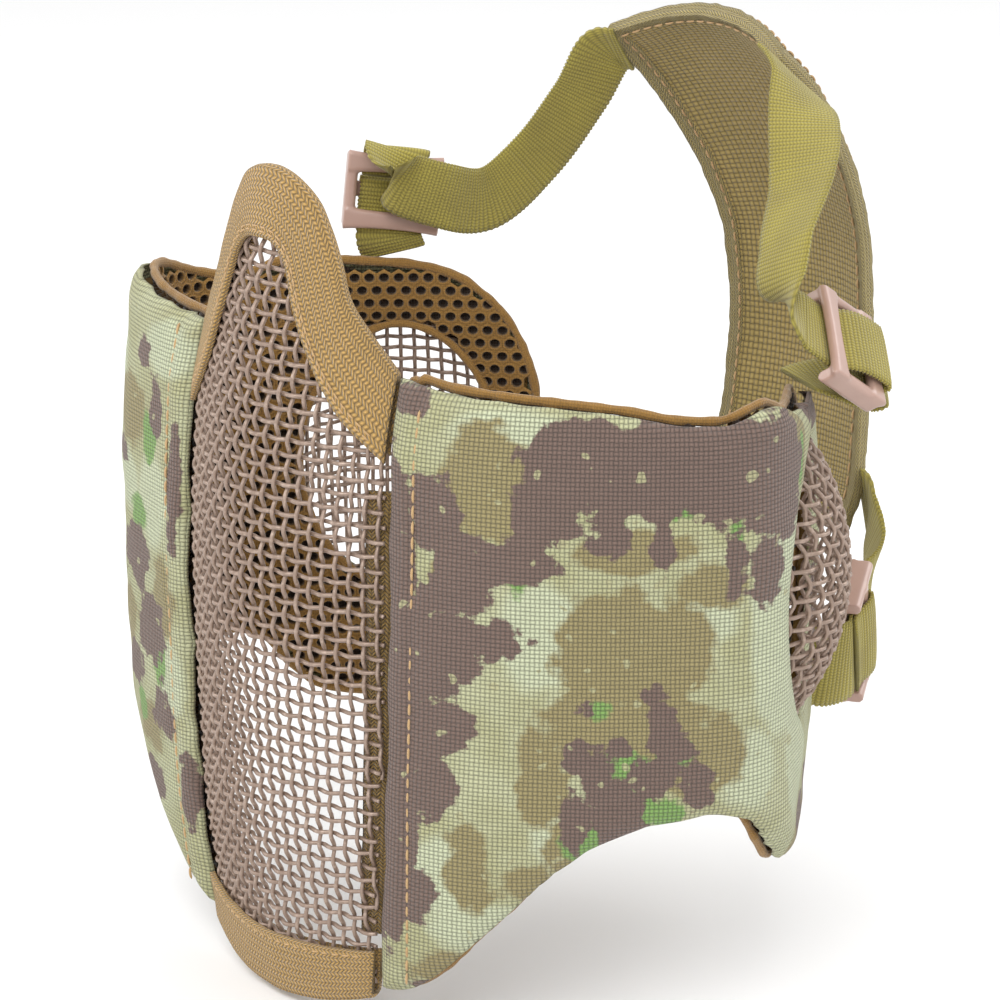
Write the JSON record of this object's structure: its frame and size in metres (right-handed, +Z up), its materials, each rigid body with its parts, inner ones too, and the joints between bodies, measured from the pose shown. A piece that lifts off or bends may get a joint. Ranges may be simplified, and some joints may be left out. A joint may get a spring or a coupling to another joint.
{
  "type": "half-face field mask",
  "caption": "Foldable lower-face field mask: domed woven-wire front, padded camouflage cheek panels with wire ear domes, and adjustable elastic head harness.",
  "frame": {"origin": "between the two ear guards, at the height of their centres, where the wearer's head is", "axes": "+X towards the wearer's left, -Y towards the front of the mask, +Z up"},
  "size_m": [0.1672, 0.164, 0.1969],
  "materials": {
    "wire": "taupe coated woven wire",
    "binding": "knitted elastic binding",
    "camo": "printed coarse woven nylon",
    "foam": "open-cell foam sheet",
    "lining": "spacer mesh with hexagonal holes",
    "webbing": "ribbed elastic webbing",
    "plastic": "moulded, slightly glossy",
    "pad": "waffle-woven double layer",
    "edging": "overlocked edge"
  },
  "bodies": {
    "front": {"front_mesh": "wire", "nose_binding": "binding", "chin_binding": "binding", "left_seam_tape": "binding", "right_seam_tape": "binding"},
    "left_cheek": {"left_cheek_cover": "camo", "left_cheek_foam": "foam", "left_cheek_lining": "lining", "left_ear_mesh": "wire", "left_upper_tab": "webbing", "left_lower_tab": "webbing"},
    "right_cheek": {"right_cheek_cover": "camo", "right_cheek_foam": "foam", "right_cheek_lining": "lining", "right_ear_mesh": "wire", "right_upper_tab": "webbing", "right_lower_tab": "webbing"},
    "left_upper_glide": {"left_upper_buckle": "plastic"},
    "right_upper_glide": {"right_upper_buckle": "plastic"},
    "left_lower_glide": {"left_lower_buckle": "plastic"},
    "right_lower_glide": {"right_lower_buckle": "plastic"},
    "harness": {"rear_pad": "pad", "rear_pad_edging": "edging", "left_upper_strap": "webbing", "right_upper_strap": "webbing", "left_lower_strap": "webbing", "right_lower_strap": "webbing"}
  },
  "joints": [
    {"name": "left_cheek_fold", "type": "hinge", "parent": "front", "child": "left_cheek", "pos_m": [0.0325, -0.085, -0.02], "axis": [0, 0, 1], "range_deg": [-12, 12], "stiffness_Nm_per_rad": 0.05, "deforming": ["left_upper_strap", "left_lower_strap"]},
    {"name": "right_cheek_fold", "type": "hinge", "parent": "front", "child": "right_cheek", "pos_m": [-0.0325, -0.085, -0.02], "axis": [0, 0, -1], "range_deg": [-12, 12], "stiffness_Nm_per_rad": 0.05, "deforming": ["right_upper_strap", "right_lower_strap"]},
    {"name": "left_upper_glide_slide", "type": "slide", "parent": "left_cheek", "child": "left_upper_glide", "axis": [0, 0.8336, -0.5523], "range_m": [-0.0025, 0.0025]},
    {"name": "right_upper_glide_slide", "type": "slide", "parent": "right_cheek", "child": "right_upper_glide", "axis": [0, 0.12, 0.9928], "range_m": [-0.0025, 0.0025]},
    {"name": "left_lower_glide_slide", "type": "slide", "parent": "left_cheek", "child": "left_lower_glide", "axis": [-0.5392, 0.7688, 0.3437], "range_m": [-0.0025, 0.0025]},
    {"name": "right_lower_glide_slide", "type": "slide", "parent": "right_cheek", "child": "right_lower_glide", "axis": [0.0896, 0.9357, 0.3413], "range_m": [-0.0025, 0.0025]},
    {"name": "harness_swing", "type": "hinge", "parent": "front", "child": "harness", "pos_m": [0, 0.005, 0.01], "axis": [1, 0, 0], "range_deg": [-15, 20], "stiffness_Nm_per_rad": 0.05}
  ]
}
